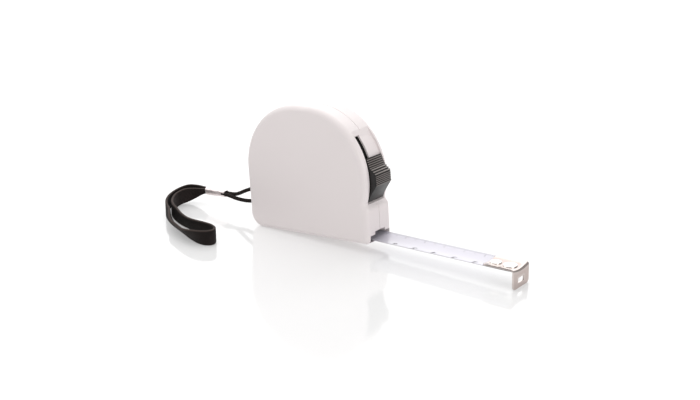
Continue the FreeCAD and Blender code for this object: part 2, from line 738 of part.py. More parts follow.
def strap_webbing():
    """Flat woven strip standing on its edge, from the ferrule out round the loop and back."""
    points = from_eye(webbing_route)
    path = arc_path(points, "webbing")
    along = (points[1] - points[0])
    across = Vector(-along.y, along.x, 0).normalize() * (webbing_thickness / 2)
    up = Vector(0, 0, webbing_width / 2)
    corners = [points[0] + across + up, points[0] - across + up,
               points[0] - across - up, points[0] + across - up]
    section = Part.makePolygon(corners + [corners[0]])
    shell = Part.BRepOffsetAPI.MakePipeShell(path)
    shell.setBiNormalMode(Vector(0, 0, 1))
    shell.add(section, False, False)
    shell.build()
    shell.makeSolid()
    solid = shell.shape()
    print("webbing volume %.1f of %.1f" % (solid.Volume,
                                           path.Length * webbing_width * webbing_thickness))
    return solid


def strap_ferrule():
    """Flattened crimp tube where both ends of the cord meet both ends of the webbing."""
    right = Vector(eye_x, 0, eye_z) + ferrule_right
    left = Vector(eye_x, 0, eye_z) + ferrule_left
    along = (left - right)
    tube = box(0, along.Length, -ferrule_depth / 2, ferrule_depth / 2,
               -ferrule_width / 2, ferrule_width / 2)
    long_edges = [e for e in tube.Edges if abs(e.BoundBox.XLength - along.Length) < 1e-6]
    tube = tube.makeFillet(ferrule_width * ferrule_round, long_edges)
    tube.Placement = Placement(right, Rotation(Vector(1, 0, 0), along))
    return tube


def eye_pin():
    """Pin across the strap eye that the cord loops round."""
    reach = eye_width / 2 + eye_wall - seat_gap
    return rod(eye_pin_inset, eye_height, -reach, reach, eye_pin_radius)


# ---------------------------------------------------------------- the whole tape
def build():
    plain, screwed = split_case()
    in_case = {
        "case_plain_shell": plain,
        "case_screw_shell": screwed,
        "case_screws": case_screws(),
        "centre_post": centre_post(),
        "reel_washers": reel_washers(),
        "reel_drum": reel_drum(),
        "drum_cover": drum_cover(),
        "blade_coil": blade_coil(),
        "mainspring": mainspring(),
        "spring_clip": spring_clip(),
        "lock_button": lock_button(),
        "lock_slider": lock_slider(),
        "brake_shoe": brake_shoe(),
        "strap_eye_pin": eye_pin(),
    }
    on_blade = {
        "blade_front": blade_front(),
        "blade_run": blade_run(),
        "end_hook": end_hook(),
        "hook_rivet_front": hook_rivet(front_rivet_back, front_rivet_head),
        "hook_rivet_rear": hook_rivet(rear_rivet_back, rear_rivet_head),
        "hook_backing_plate": backing_plate(),
    }
    nodes = {name: from_case(shape) for name, shape in in_case.items()}
    nodes.update({name: from_blade(shape) for name, shape in on_blade.items()})
    nodes["strap_cord"] = strap_cord()
    nodes["strap_ferrule"] = strap_ferrule()
    nodes["strap_webbing"] = strap_webbing()
    return nodes


def report(nodes):
    for name, shape in nodes.items():
        b = shape.BoundBox
        print("%-20s solids %d valid %s vol %8.1f  x %.1f %.1f y %.1f %.1f z %.1f %.1f"
              % (name, len(shape.Solids), shape.isValid(), shape.Volume,
                 b.XMin, b.XMax, b.YMin, b.YMax, b.ZMin, b.ZMax))
    print("lean %.3f dip %.3f coil %.2f ratio %.3f" % (math.degrees(LEAN), math.degrees(DIP),
                                                       coil_radius, reel_ratio))
    print("reel axis", stand_point(reel_x, reel_z), "lock axis", stand_point(arc_x, arc_z))
    print("eye", eye_x, eye_z, "mouth", stand_point(case_length, mouth_height))


def main():
    os.makedirs("parts", exist_ok=True)
    nodes = build()
    report(nodes)
    for name, shape in nodes.items():
        shape.exportStep(os.path.join("parts", name + ".step"))


main()
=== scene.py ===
"""Pocket tape measure with a white split case, riveted steel blade, lock button and wrist strap.

Run as a script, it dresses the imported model: every visible piece gets its final shape and finish.
"""

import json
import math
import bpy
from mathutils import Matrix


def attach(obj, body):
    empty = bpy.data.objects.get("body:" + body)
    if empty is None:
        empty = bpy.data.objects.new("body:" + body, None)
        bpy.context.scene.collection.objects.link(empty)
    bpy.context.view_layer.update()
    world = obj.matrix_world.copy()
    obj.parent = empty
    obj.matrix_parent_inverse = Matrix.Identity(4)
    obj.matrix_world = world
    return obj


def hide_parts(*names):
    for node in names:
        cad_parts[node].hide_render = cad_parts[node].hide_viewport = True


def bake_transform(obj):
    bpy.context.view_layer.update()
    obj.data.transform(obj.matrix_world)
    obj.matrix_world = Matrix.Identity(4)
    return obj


bl_info = {
    "name": "Pocket Tape Measure",
    "version": (1, 0, 0),
    "blender": (4, 5, 0),
    "location": "View3D > Sidebar > Tape",
    "description": "Builds the visible pieces of a pocket tape measure on its packed model",
    "category": "Add Mesh",
}

import bmesh
import bpy
from bpy.props import FloatProperty, FloatVectorProperty, IntProperty, PointerProperty
from mathutils import Vector

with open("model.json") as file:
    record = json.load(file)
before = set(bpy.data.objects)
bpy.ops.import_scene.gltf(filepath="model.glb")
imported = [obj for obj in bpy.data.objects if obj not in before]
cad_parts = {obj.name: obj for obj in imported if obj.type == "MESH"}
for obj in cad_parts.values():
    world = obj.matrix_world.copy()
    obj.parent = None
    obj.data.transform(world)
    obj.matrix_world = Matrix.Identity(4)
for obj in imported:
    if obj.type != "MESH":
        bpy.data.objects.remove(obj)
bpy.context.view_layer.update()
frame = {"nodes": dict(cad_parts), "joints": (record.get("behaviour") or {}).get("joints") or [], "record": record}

MM = 0.001

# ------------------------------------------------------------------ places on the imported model
joints = {j["name"]: j for j in frame["joints"]}
mounts = {m["name"]: m for m in frame["record"]["mounts"]}

ALONG = Vector(joints["blade_slide"]["axis"])            # along the pulled-out blade
OVER = Vector((-ALONG.z, 0.0, ALONG.x))                  # square to the blade, upwards
ACROSS = Vector((0.0, 1.0, 0.0))
BLADE_OUT = 70.2 * MM                                    # from the nose to the hook's outer face
FACE_MARK_DROP = 1.2 * MM                                # the marked point on the hook's outer face
TIP_UNDER_HOOK = 1.75 * MM                               # the blade's end behind the outer face
FRONT_RIVET, REAR_RIVET = 5.2 * MM, 12.0 * MM            # the rivets' middles behind that face
MOUTH = Vector(mounts["hook_outer_face"]["pos_m"]) - ALONG * BLADE_OUT + OVER * FACE_MARK_DROP

CASE_UP = -Vector(mounts["case_base"]["axis"])           # the case leans nose up on its heel
CASE_FORWARD = Vector((CASE_UP.z, 0.0, -CASE_UP.x))
LOCK_AXIS = Vector(joints["lock_slide"]["pos_m"])
REEL_AXIS = Vector(joints["reel_turn"]["pos_m"])
EYE_INSET = 3.4 * MM                                     # the eye's pin in front of the case's back
EYE = Vector(mounts["strap_eye"]["pos_m"]) - CASE_FORWARD * EYE_INSET
COIL_TANGENT = (REEL_AXIS - MOUTH).dot(ALONG)            # where the blade leaves the coil


def on_blade(x, y, z):
    """Point from millimetres along, across and over the blade's line."""
    return MOUTH + (ALONG * x + ACROSS * y + OVER * z) * MM


def on_lock(radius, angle, y):
    """Point from millimetres and degrees round the lock's axis, up from the case's front."""
    turn = math.radians(angle)
    return (LOCK_AXIS + (CASE_FORWARD * math.cos(turn) + CASE_UP * math.sin(turn)) * radius * MM
            + ACROSS * y * MM)


def from_eye(route):
    return [EYE + Vector(point) * MM for point in route]


# The camera: millimetres for the lens, metres in the model's frame for the places.
SENSOR_WIDTH, FOCAL_LENGTH = 36.0, 61.71
VIEWED_FROM = (0.28397, -0.40702, 0.18965)
LOOKED_AT = (-0.01692, 0.0, 0.01991)

# Routes of the strap, in millimetres from the middle of the strap eye at the case's back.
cord_route = [(-24.5, 1.15, -4.35), (-22.5, 1.15, -4.25), (-19.0, 1.1, -4.1), (-15.5, 0.9, -3.2),
              (-10.5, 0.5, -0.5), (-4.5, 0.2, 2.2), (0.9, 0.0, 3.0), (6.0, 0.0, 2.5),
              (6.0, 0.0, -2.5), (0.9, 0.0, -3.0), (-4.5, -0.2, -4.3), (-9.5, -0.4, -5.1),
              (-14.5, -0.7, -5.1), (-19.0, -0.8, -4.5), (-22.5, -0.75, -4.25),
              (-24.5, -0.75, -4.35)]
webbing_route = [(-33.0, 1.1, -4.9), (-35.1, 1.3, -5.0), (-41.5, 1.8, -6.2), (-47.2, -2.0, -7.5),
                 (-48.2, -9.2, -8.5), (-44.9, -17.6, -8.8), (-37.7, -25.6, -8.8),
                 (-27.8, -31.6, -8.8), (-16.6, -36.1, -8.8), (-6.4, -40.8, -8.8),
                 (1.4, -42.9, -8.8), (5.6, -40.0, -8.8), (3.2, -35.4, -8.8), (-5.4, -33.0, -8.8),
                 (-15.6, -31.4, -8.8), (-26.2, -28.4, -8.8), (-36.3, -23.3, -8.8),
                 (-43.3, -15.1, -8.7), (-45.4, -7.9, -8.3), (-42.6, -2.2, -7.4),
                 (-38.6, -0.4, -6.1), (-35.1, -0.1, -5.2), (-33.0, 0.1, -4.9)]
ferrule_right = (-22.5, 0.2, -4.25)
ferrule_left = (-35.0, 0.6, -5.1)


# ------------------------------------------------------------------ sizes and colours to change
def length(name, description, default):
    return FloatProperty(name=name, description=description, default=default * MM, precision=5,
                         unit="LENGTH", subtype="DISTANCE")


def colour(name, description, default):
    return FloatVectorProperty(name=name, description=description, default=default, size=3,
                               min=0.0, max=1.0, subtype="COLOR")


def share(name, description, default):
    return FloatProperty(name=name, description=description, default=default, min=0.0, max=1.0,
                         subtype="FACTOR")


class TapeCaseSettings(bpy.types.PropertyGroup):
    plastic: colour("Shell plastic", "Warm white moulded plastic", (0.84, 0.775, 0.772))
    gloss: share("Shell roughness", "Roughness of the moulded skin", 0.42)
    grain: length("Grain size", "Size of the moulded grain", 0.35)


class TapeBladeSettings(bpy.types.PropertyGroup):
    width: length("Blade width", "Width across the flat blade", 13.0)
    thickness: length("Blade thickness", "Thickness of the lacquered strip", 0.15)
    sag: length("Blade hollow", "Depth of the hollow", 1.0)
    spread: length("Spread", "Run over which the blade takes up its hollow", 14.0)
    lacquer: colour("Lacquer", "Pale lacquer of the blade", (0.68, 0.66, 0.735))
    ink: colour("Ink", "Printed marks and numerals", (0.035, 0.03, 0.04))
    numeral_height: length("Numeral height", "Height of the centimetre numerals", 2.9)


class TapeHookSettings(bpy.types.PropertyGroup):
    thickness: length("Hook thickness", "Thickness of the sheet", 0.7)
    plate: length("Plate length", "From the plate's back edge to the outer face", 15.0)
    drop: length("Hook drop", "From the blade's underside to the tip", 7.0)
    gap: length("Hook gap", "Between the plate and the blade", 0.15)
    corner: length("Corner radius", "Rounding of the plate's and the leg's corners", 1.8)
    bend: length("Bend radius", "Radius at the middle of the sheet", 1.0)
    hole_width: length("Hole width", "Width of the nail hole", 4.8)
    hole_height: length("Hole height", "Height of the nail hole", 2.1)
    hole_over_tip: length("Hole over tip", "From the tip to the hole", 2.2)
    front_head: length("Front rivet head", "Radius of the front rivet's head", 3.1)
    rear_head: length("Rear rivet head", "Radius of the rear rivet's head", 2.6)
    nickel: colour("Nickel", "Bright nickel plate", (0.60, 0.505, 0.475))


class TapeLockSettings(bpy.types.PropertyGroup):
    seat: length("Seat radius", "Radius of the button's underside round the lock's axis", 30.3)
    width: length("Button width", "Width of the button", 11.4)
    face_ribs: IntProperty(name="Face ribs", description="Fine ribs on the peak", default=6)
    ramp_ribs: IntProperty(name="Ramp ribs", description="Fine ribs on the ramp", default=5)
    plastic: colour("Button plastic", "Black moulded plastic", (0.005, 0.0042, 0.0038))
    # Painted highlight: the rib crests get this lighter grey in place of the light they would catch.
    ridge: colour("Painted rib highlights", "Crests of the ribs, rubbed grey", (0.20, 0.175, 0.165))


class TapeStrapSettings(bpy.types.PropertyGroup):
    webbing_width: length("Webbing width", "Width of the woven strip", 7.3)
    webbing_thickness: length("Webbing thickness", "Thickness of the woven strip", 1.1)
    cord_diameter: length("Cord diameter", "Diameter of the thin cord", 1.8)
    ferrule_width: length("Ferrule width", "Height of the flattened tube", 3.9)
    ferrule_depth: length("Ferrule depth", "Depth of the flattened tube", 4.1)
    thread: colour("Thread", "Brown-black nylon thread", (0.006, 0.0042, 0.004))
    light_thread: colour("Light thread", "Thread where it catches the light", (0.085, 0.062, 0.055))
    ferrule: colour("Ferrule metal", "Satin metal of the ferrule", (0.95, 0.85, 0.84))


class TapeStageSettings(bpy.types.PropertyGroup):
    floor: colour("Floor", "Pale floor", (0.56, 0.56, 0.56))
    top_power: FloatProperty(name="Top light", description="Power of the overhead light",
                             default=36.0, unit="POWER")
    side_power: FloatProperty(name="Side light", description="Power of the light at the left",
                              default=3.0, unit="POWER")
    front_power: FloatProperty(name="Front light", description="Power of the light at the nose's side",
                               default=6.0, unit="POWER")
    back_power: FloatProperty(name="Back light", description="Power of the bright card behind",
                              default=38.0, unit="POWER")
    world: FloatProperty(name="Surroundings", description="Strength of the pale surroundings",
                         default=0.40)
    glow: FloatProperty(name="Floor glow", description="Light that the floor gives off",
                        default=0.30)


# ------------------------------------------------------------------ mesh helpers
def smoothstep(value):
    value = min(max(value, 0.0), 1.0)
    return value * value * (3.0 - 2.0 * value)


def add_piece(name, mesh, body, finishes):
    """Object for a mesh that rides on a body and takes its finish from a slot."""
    piece = bpy.data.objects.new(name, mesh)
    bpy.context.scene.collection.objects.link(piece)
    for finish in finishes:
        mesh.materials.append(finish)
    if body is not None:
        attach(piece, body)
    return piece


def mesh_from(name, bm, crease=35.0):
    """Smooth-shaded mesh whose edges sharper than crease degrees stay sharp."""
    bmesh.ops.recalc_face_normals(bm, faces=bm.faces)
    mesh = bpy.data.meshes.new(name)
    bm.to_mesh(mesh)
    bm.free()
    mesh.shade_smooth()
    mesh.set_sharp_from_angle(angle=math.radians(crease))
    return mesh


def skin(bm, rows, closed_across=False, caps=False):
    """Quads between rows of points; returns the rows of vertices."""
    made = [[bm.verts.new(point) for point in row] for row in rows]
    for low, high in zip(made, made[1:]):
        count = len(low)
        for i in range(count if closed_across else count - 1):
            k = (i + 1) % count
            bm.faces.new((low[i], low[k], high[k], high[i]))
    if caps:
        bm.faces.new(list(reversed(made[0])))
        bm.faces.new(made[-1])
    return made


def finish_with(mesh, modifiers):
    """The mesh after these modifiers, each given as a type and its settings."""
    holder = bpy.data.objects.new("holder", mesh)
    bpy.context.scene.collection.objects.link(holder)
    for kind, settings in modifiers:
        modifier = holder.modifiers.new(kind.title(), kind)
        for key, value in settings.items():
            setattr(modifier, key, value)
    graph = bpy.context.evaluated_depsgraph_get()
    result = bpy.data.meshes.new_from_object(holder.evaluated_get(graph))
    bpy.data.objects.remove(holder)
    result.shade_smooth()
    result.set_sharp_from_angle(angle=math.radians(38.0))
    return result


def write_values(mesh, name, values):
    layer = mesh.attributes.new(name, "FLOAT", "POINT")
    layer.data.foreach_set("value", values)


def mark_edges(mesh, full_angle=0.45):
    """Stores how convex the surface is at each vertex, for wear along edges."""
    bm = bmesh.new()
    bm.from_mesh(mesh)
    values = []
    for vert in bm.verts:
        bends = [e.calc_face_angle_signed(0.0) for e in vert.link_edges if len(e.link_faces) == 2]
        values.append(min(max(bends + [0.0]) / full_angle, 1.0))
    bm.free()
    write_values(mesh, "edge", values)


def route_line(name, route, resolution):
    """Points along the smooth NURBS line that has the route's points as its control points."""
    curve = bpy.data.curves.new(name, "CURVE")
    curve.dimensions = "3D"
    curve.resolution_u = resolution
    spline = curve.splines.new("NURBS")
    spline.points.add(len(route) - 1)
    for point, place in zip(spline.points, from_eye(route)):
        point.co = (*place, 1.0)
    spline.order_u = 3
    spline.use_endpoint_u = True
    holder = bpy.data.objects.new(name, curve)
    bpy.context.scene.collection.objects.link(holder)
    line = bpy.data.meshes.new_from_object(holder)
    least_step = 0.05 * MM
    points = [line.vertices[0].co.copy()]
    for vertex in line.vertices:
        if (vertex.co - points[-1]).length > least_step:
            points.append(vertex.co.copy())
    bpy.data.objects.remove(holder)
    bpy.data.meshes.remove(line)
    return points


def stations(points):
    """Each point with its tangent and its distance along the line."""
    travelled, found = 0.0, []
    for i, point in enumerate(points):
        before, after = points[max(i - 1, 0)], points[min(i + 1, len(points) - 1)]
        if i:
            travelled += (point - points[i - 1]).length
        found.append((point, (after - before).normalized(), travelled))
    return found


# ------------------------------------------------------------------ shader helpers
def link(tree, source, target):
    tree.links.new(source, target)


def put(tree, kind, **values):
    """New node with its settings and its inputs; inputs are values or sockets."""
    node = tree.nodes.new(kind)
    inputs = values.pop("inputs", {})
    for key, value in values.items():
        setattr(node, key, value)
    for key, value in inputs.items():
        if isinstance(value, bpy.types.NodeSocket):
            tree.links.new(value, node.inputs[key])
        else:
            node.inputs[key].default_value = value
    return node


def calc(tree, operation, *values):
    """Output of a Math node."""
    return put(tree, "ShaderNodeMath", operation=operation,
               inputs=dict(enumerate(values))).outputs[0]


def blend_colours(tree, factor, low, high):
    node = put(tree, "ShaderNodeMix", data_type="RGBA",
               inputs={"Factor": factor, "A": low, "B": high})
    return node.outputs["Result"]


def rgba(value):
    return (value[0], value[1], value[2], 1.0)


def new_group(name, inputs, outputs):
    """Empty shader group with named sockets; gives the group and its two end nodes."""
    group = bpy.data.node_groups.new(name, "ShaderNodeTree")
    for label, kind, default in inputs:
        socket = group.interface.new_socket(label, in_out="INPUT", socket_type="NodeSocket" + kind)
        if default is not None:
            socket.default_value = default
    for label, kind in outputs:
        group.interface.new_socket(label, in_out="OUTPUT", socket_type="NodeSocket" + kind)
    start = group.nodes.new("NodeGroupInput")
    end = group.nodes.new("NodeGroupOutput")
    return group, start, end


def built_once(name):
    """Makes a function that fills a group of this name build it on the first call only."""
    def wrap(build):
        def get():
            if name not in bpy.data.node_groups:
                build(name)
            return bpy.data.node_groups[name]
        return get
    return wrap


def noise(tree, place, scale, detail, roughness):
    """Value of a noise texture."""
    return put(tree, "ShaderNodeTexNoise", inputs={
        "Vector": place, "Scale": scale, "Detail": detail, "Roughness": roughness}).outputs[0]


@built_once("Moulded grain")
def grain_group(name):
    """Soft cloudy tone and fine moulded grain."""
    group, start, end = new_group(
        name, [("Place", "Vector", None), ("Grains per metre", "Float", 3000.0),
               ("Clouds per metre", "Float", 25.0)],
        [("Grain", "Float"), ("Cloud", "Float")])
    place = start.outputs["Place"]
    fine = noise(group, place, start.outputs["Grains per metre"], 3.0, 0.55)
    soft = noise(group, place, start.outputs["Clouds per metre"], 2.0, 0.4)
    link(group, fine, end.inputs["Grain"])
    link(group, soft, end.inputs["Cloud"])


@built_once("Edge wear")
def wear_group(name):
    """Broken wear along marked edges."""
    group, start, end = new_group(
        name, [("Place", "Vector", None), ("Edge", "Float", 0.0), ("Amount", "Float", 0.5),
               ("Breaks per metre", "Float", 900.0)],
        [("Wear", "Float")])
    patch = noise(group, start.outputs["Place"], start.outputs["Breaks per metre"], 4.0, 0.65)
    broken = calc(group, "MULTIPLY", start.outputs["Edge"], patch)
    raised = calc(group, "MULTIPLY", broken, start.outputs["Amount"])
    clipped = put(group, "ShaderNodeClamp", inputs={"Value": calc(group, "MULTIPLY", raised, 2.0)})
    link(group, clipped.outputs[0], end.inputs["Wear"])


@built_once("Fine scuffs")
def scuff_group(name):
    """Sparse fine scuffs, drawn out along one slanting direction."""
    group, start, end = new_group(
        name, [("Place", "Vector", None), ("Per metre", "Float", 220.0), ("Amount", "Float", 0.2)],
        [("Scuff", "Float")])
    stretched = put(group, "ShaderNodeMapping", inputs={
        "Vector": start.outputs["Place"], "Rotation": (0.4, 0.7, 0.5), "Scale": (1.0, 6.0, 1.6)})
    streaks = noise(group, stretched.outputs[0], start.outputs["Per metre"], 5.0, 0.6)
    sparse = put(group, "ShaderNodeMapRange", inputs={
        "Value": streaks, "From Min": 0.56, "From Max": 0.72, "To Min": 0.0, "To Max": 1.0})
    link(group, calc(group, "MULTIPLY", sparse.outputs[0], start.outputs["Amount"]),
         end.inputs["Scuff"])


@built_once("Rolling lines")
def brushed_group(name):
    """Fine lines drawn out along one direction of a rolled or polished metal."""
    group, start, end = new_group(
        name, [("Place", "Vector", None), ("Stretch", "Vector", (1.0, 12.0, 1.0)),
               ("Lines per metre", "Float", 900.0)],
        [("Lines", "Float"), ("Patches", "Float")])
    drawn = put(group, "ShaderNodeVectorMath", operation="MULTIPLY",
                inputs={0: start.outputs["Place"], 1: start.outputs["Stretch"]})
    lines = noise(group, drawn.outputs[0], start.outputs["Lines per metre"], 3.0, 0.6)
    patches = noise(group, start.outputs["Place"], 180.0, 2.0, 0.5)
    link(group, lines, end.inputs["Lines"])
    link(group, patches, end.inputs["Patches"])


@built_once("Woven threads")
def weave_group(name):
    """Threads that cross over and under, from distances across and along in millimetres; Light marks the thread
    ridges for a painted highlight.
    """
    group, start, end = new_group(
        name, [("Across", "Float", 0.0), ("Along", "Float", 0.0),
               ("Threads across", "Float", 1.6), ("Threads along", "Float", 1.2),
               ("Slant", "Float", 0.0)],
        [("Height", "Float"), ("Light", "Float")])
    slanted = calc(group, "ADD", start.outputs["Along"],
                   calc(group, "MULTIPLY", start.outputs["Across"], start.outputs["Slant"]))
    wide = calc(group, "SINE", calc(group, "MULTIPLY", calc(
        group, "MULTIPLY", start.outputs["Across"], start.outputs["Threads across"]), math.tau))
    tall = calc(group, "SINE", calc(group, "MULTIPLY", calc(
        group, "MULTIPLY", slanted, start.outputs["Threads along"]), math.tau))
    crossing = calc(group, "MULTIPLY", wide, tall)
    height = calc(group, "MULTIPLY_ADD", crossing, 0.5, 0.5)
    ridge = calc(group, "POWER", calc(group, "ABSOLUTE", wide), 3.0)
    link(group, height, end.inputs["Height"])
    link(group, calc(group, "MULTIPLY", ridge, height), end.inputs["Light"])


def new_finish(name, fixed):
    """Material with its plain values set on the shader's own sockets; gives its nodes too."""
    material = bpy.data.materials.new(name)
    material.use_nodes = True
    tree = material.node_tree
    shader = tree.nodes["Principled BSDF"]
    for socket, value in fixed.items():
        shader.inputs[socket].default_value = value
    place = put(tree, "ShaderNodeTexCoord").outputs["Object"]
    return material, tree, shader, place


def use(tree, group, **inputs):
    """Shared group placed in a material, with the material's own values."""
    named = {key.replace("_", " "): value for key, value in inputs.items()}
    return put(tree, "ShaderNodeGroup", node_tree=group, inputs=named)


def value_of(tree, attribute):
    return put(tree, "ShaderNodeAttribute", attribute_name=attribute).outputs["Fac"]


def roughen(tree, shader, value, low, high):
    """Roughness that follows a 0 to 1 value between low and high."""
    spread = put(tree, "ShaderNodeMapRange", inputs={"Value": value, "To Min": low, "To Max": high})
    link(tree, spread.outputs[0], shader.inputs["Roughness"])


def emboss(tree, shader, height, strength, distance):
    bump = put(tree, "ShaderNodeBump",
               inputs={"Height": height, "Strength": strength, "Distance": distance})
    link(tree, bump.outputs[0], shader.inputs["Normal"])


def moulded(name, tone, rough, grain, bump, cloud=0.06, **fixed):
    """Moulded plastic, rubber or lacquer: cloudy tone, fine grain and scuffs."""
    material, tree, shader, place = new_finish(name, fixed)
    texture = use(tree, grain_group(), Place=place, Grains_per_metre=1.0 / grain)
    scuffs = use(tree, scuff_group(), Place=place)
    darker = tuple(c * (1.0 - cloud) for c in tone)
    lighter = tuple(min(c * (1.0 + cloud), 1.0) for c in tone)
    base = blend_colours(tree, texture.outputs["Cloud"], rgba(darker), rgba(lighter))
    link(tree, base, shader.inputs["Base Color"])
    mixed = calc(tree, "ADD", calc(tree, "MULTIPLY", texture.outputs["Grain"], 0.6),
                 scuffs.outputs["Scuff"])
    roughen(tree, shader, mixed, rough - 0.06, rough + 0.10)
    emboss(tree, shader, texture.outputs["Grain"], bump, 0.02 * MM)
    return material


def metal(name, tone, rough, stretch, wear=None, tint=0.08, **fixed):
    """Plated or rolled metal with drawn-out lines, patchy gloss and, if asked, worn edges."""
    material, tree, shader, place = new_finish(name, {"Metallic": 1.0, **fixed})
    lines = use(tree, brushed_group(), Place=place, Stretch=stretch)
    darker = tuple(c * (1.0 - tint) for c in tone)
    base = blend_colours(tree, lines.outputs["Patches"], rgba(darker), rgba(tone))
    if wear is not None:
        worn = use(tree, wear_group(), Place=place, Edge=value_of(tree, "edge"), Amount=wear[1])
        base = blend_colours(tree, worn.outputs["Wear"], base, rgba(wear[0]))
    link(tree, base, shader.inputs["Base Color"])
    mixed = calc(tree, "MULTIPLY_ADD", lines.outputs["Lines"], 0.6,
                 calc(tree, "MULTIPLY", lines.outputs["Patches"], 0.4))
    roughen(tree, shader, mixed, rough * 0.7, rough * 1.35)
    emboss(tree, shader, lines.outputs["Lines"], 0.12, 0.01 * MM)
    return material


def woven(name, settings, across, along, slant, edge_light):
    """Nylon threads crossing, with a painted highlight where they ride up and along the woven edges."""
    material, tree, shader, place = new_finish(
        name, {"Sheen Weight": 0.03, "Sheen Roughness": 0.5, "Specular IOR Level": 0.12})
    threads = use(tree, weave_group(), Across=value_of(tree, "across_mm"),
                  Along=value_of(tree, "along_mm"), Threads_across=across, Threads_along=along,
                  Slant=slant)
    fuzz = use(tree, grain_group(), Place=place, Grains_per_metre=9000.0, Clouds_per_metre=160.0)
    # Painted highlight: lighter thread where the threads ride up, and along the woven edges.
    lit = calc(tree, "MULTIPLY", threads.outputs["Light"], fuzz.outputs["Cloud"])
    base = blend_colours(tree, lit, rgba(settings.thread), rgba(settings.light_thread))
    border = calc(tree, "MULTIPLY", value_of(tree, "border"), edge_light)
    base = blend_colours(tree, border, base, rgba(settings.light_thread))
    link(tree, base, shader.inputs["Base Color"])
    roughen(tree, shader, fuzz.outputs["Grain"], 0.62, 0.85)
    height = calc(tree, "MULTIPLY_ADD", fuzz.outputs["Grain"], 0.25, threads.outputs["Height"])
    emboss(tree, shader, height, 0.7, 0.08 * MM)
    return material


def printed_lacquer(settings):
    """Lacquer with a millimetre scale along both edges, counted from the hook."""
    material, tree, shader, place = new_finish(
        "Printed lacquer", {"Coat Weight": 0.35, "Coat Roughness": 0.12, "Specular IOR Level": 0.5})
    texture = use(tree, grain_group(), Place=place, Grains_per_metre=2500.0,
                  Clouds_per_metre=60.0)
    zero = on_blade(BLADE_OUT / MM, 0, 0)
    run = put(tree, "ShaderNodeVectorMath", operation="DOT_PRODUCT",
              inputs={0: place, 1: tuple(ALONG)}).outputs["Value"]
    back = calc(tree, "MULTIPLY", calc(tree, "SUBTRACT", zero.dot(ALONG), run), 1.0 / MM)
    beside = put(tree, "ShaderNodeSeparateXYZ", inputs={0: place}).outputs["Y"]
    from_edge = calc(tree, "SUBTRACT", settings.width / 2 / MM,
                     calc(tree, "MULTIPLY", calc(tree, "ABSOLUTE", beside), 1.0 / MM))

    def marks(pitch, half_width, reach):
        """1 on a tick of this pitch and reach, else 0."""
        shifted = calc(tree, "WRAP", back, pitch / 2, -pitch / 2)
        thin = calc(tree, "LESS_THAN", calc(tree, "ABSOLUTE", shifted), half_width)
        return calc(tree, "MULTIPLY", thin, calc(tree, "LESS_THAN", from_edge, reach))

    ticks = calc(tree, "MAXIMUM", marks(1.0, 0.10, 1.15),
                 calc(tree, "MAXIMUM", marks(5.0, 0.12, 1.75), marks(10.0, 0.14, 2.3)))
    rolled = use(tree, brushed_group(), Place=place, Stretch=(1.0, 14.0, 1.0))
    darker = tuple(c * 0.93 for c in settings.lacquer)
    base = blend_colours(tree, texture.outputs["Cloud"], rgba(darker), rgba(settings.lacquer))
    base = blend_colours(tree, calc(tree, "MULTIPLY", ticks, 0.8), base, rgba(settings.ink))
    link(tree, base, shader.inputs["Base Color"])
    roughen(tree, shader, rolled.outputs["Lines"], 0.26, 0.42)
    emboss(tree, shader, rolled.outputs["Lines"], 0.08, 0.01 * MM)
    return material


# ------------------------------------------------------------------ operators
def dress(node, material):
    """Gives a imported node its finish, in every material slot it has."""
    mesh = frame["nodes"][node].data
    mesh.materials.clear()
    mesh.materials.append(material)


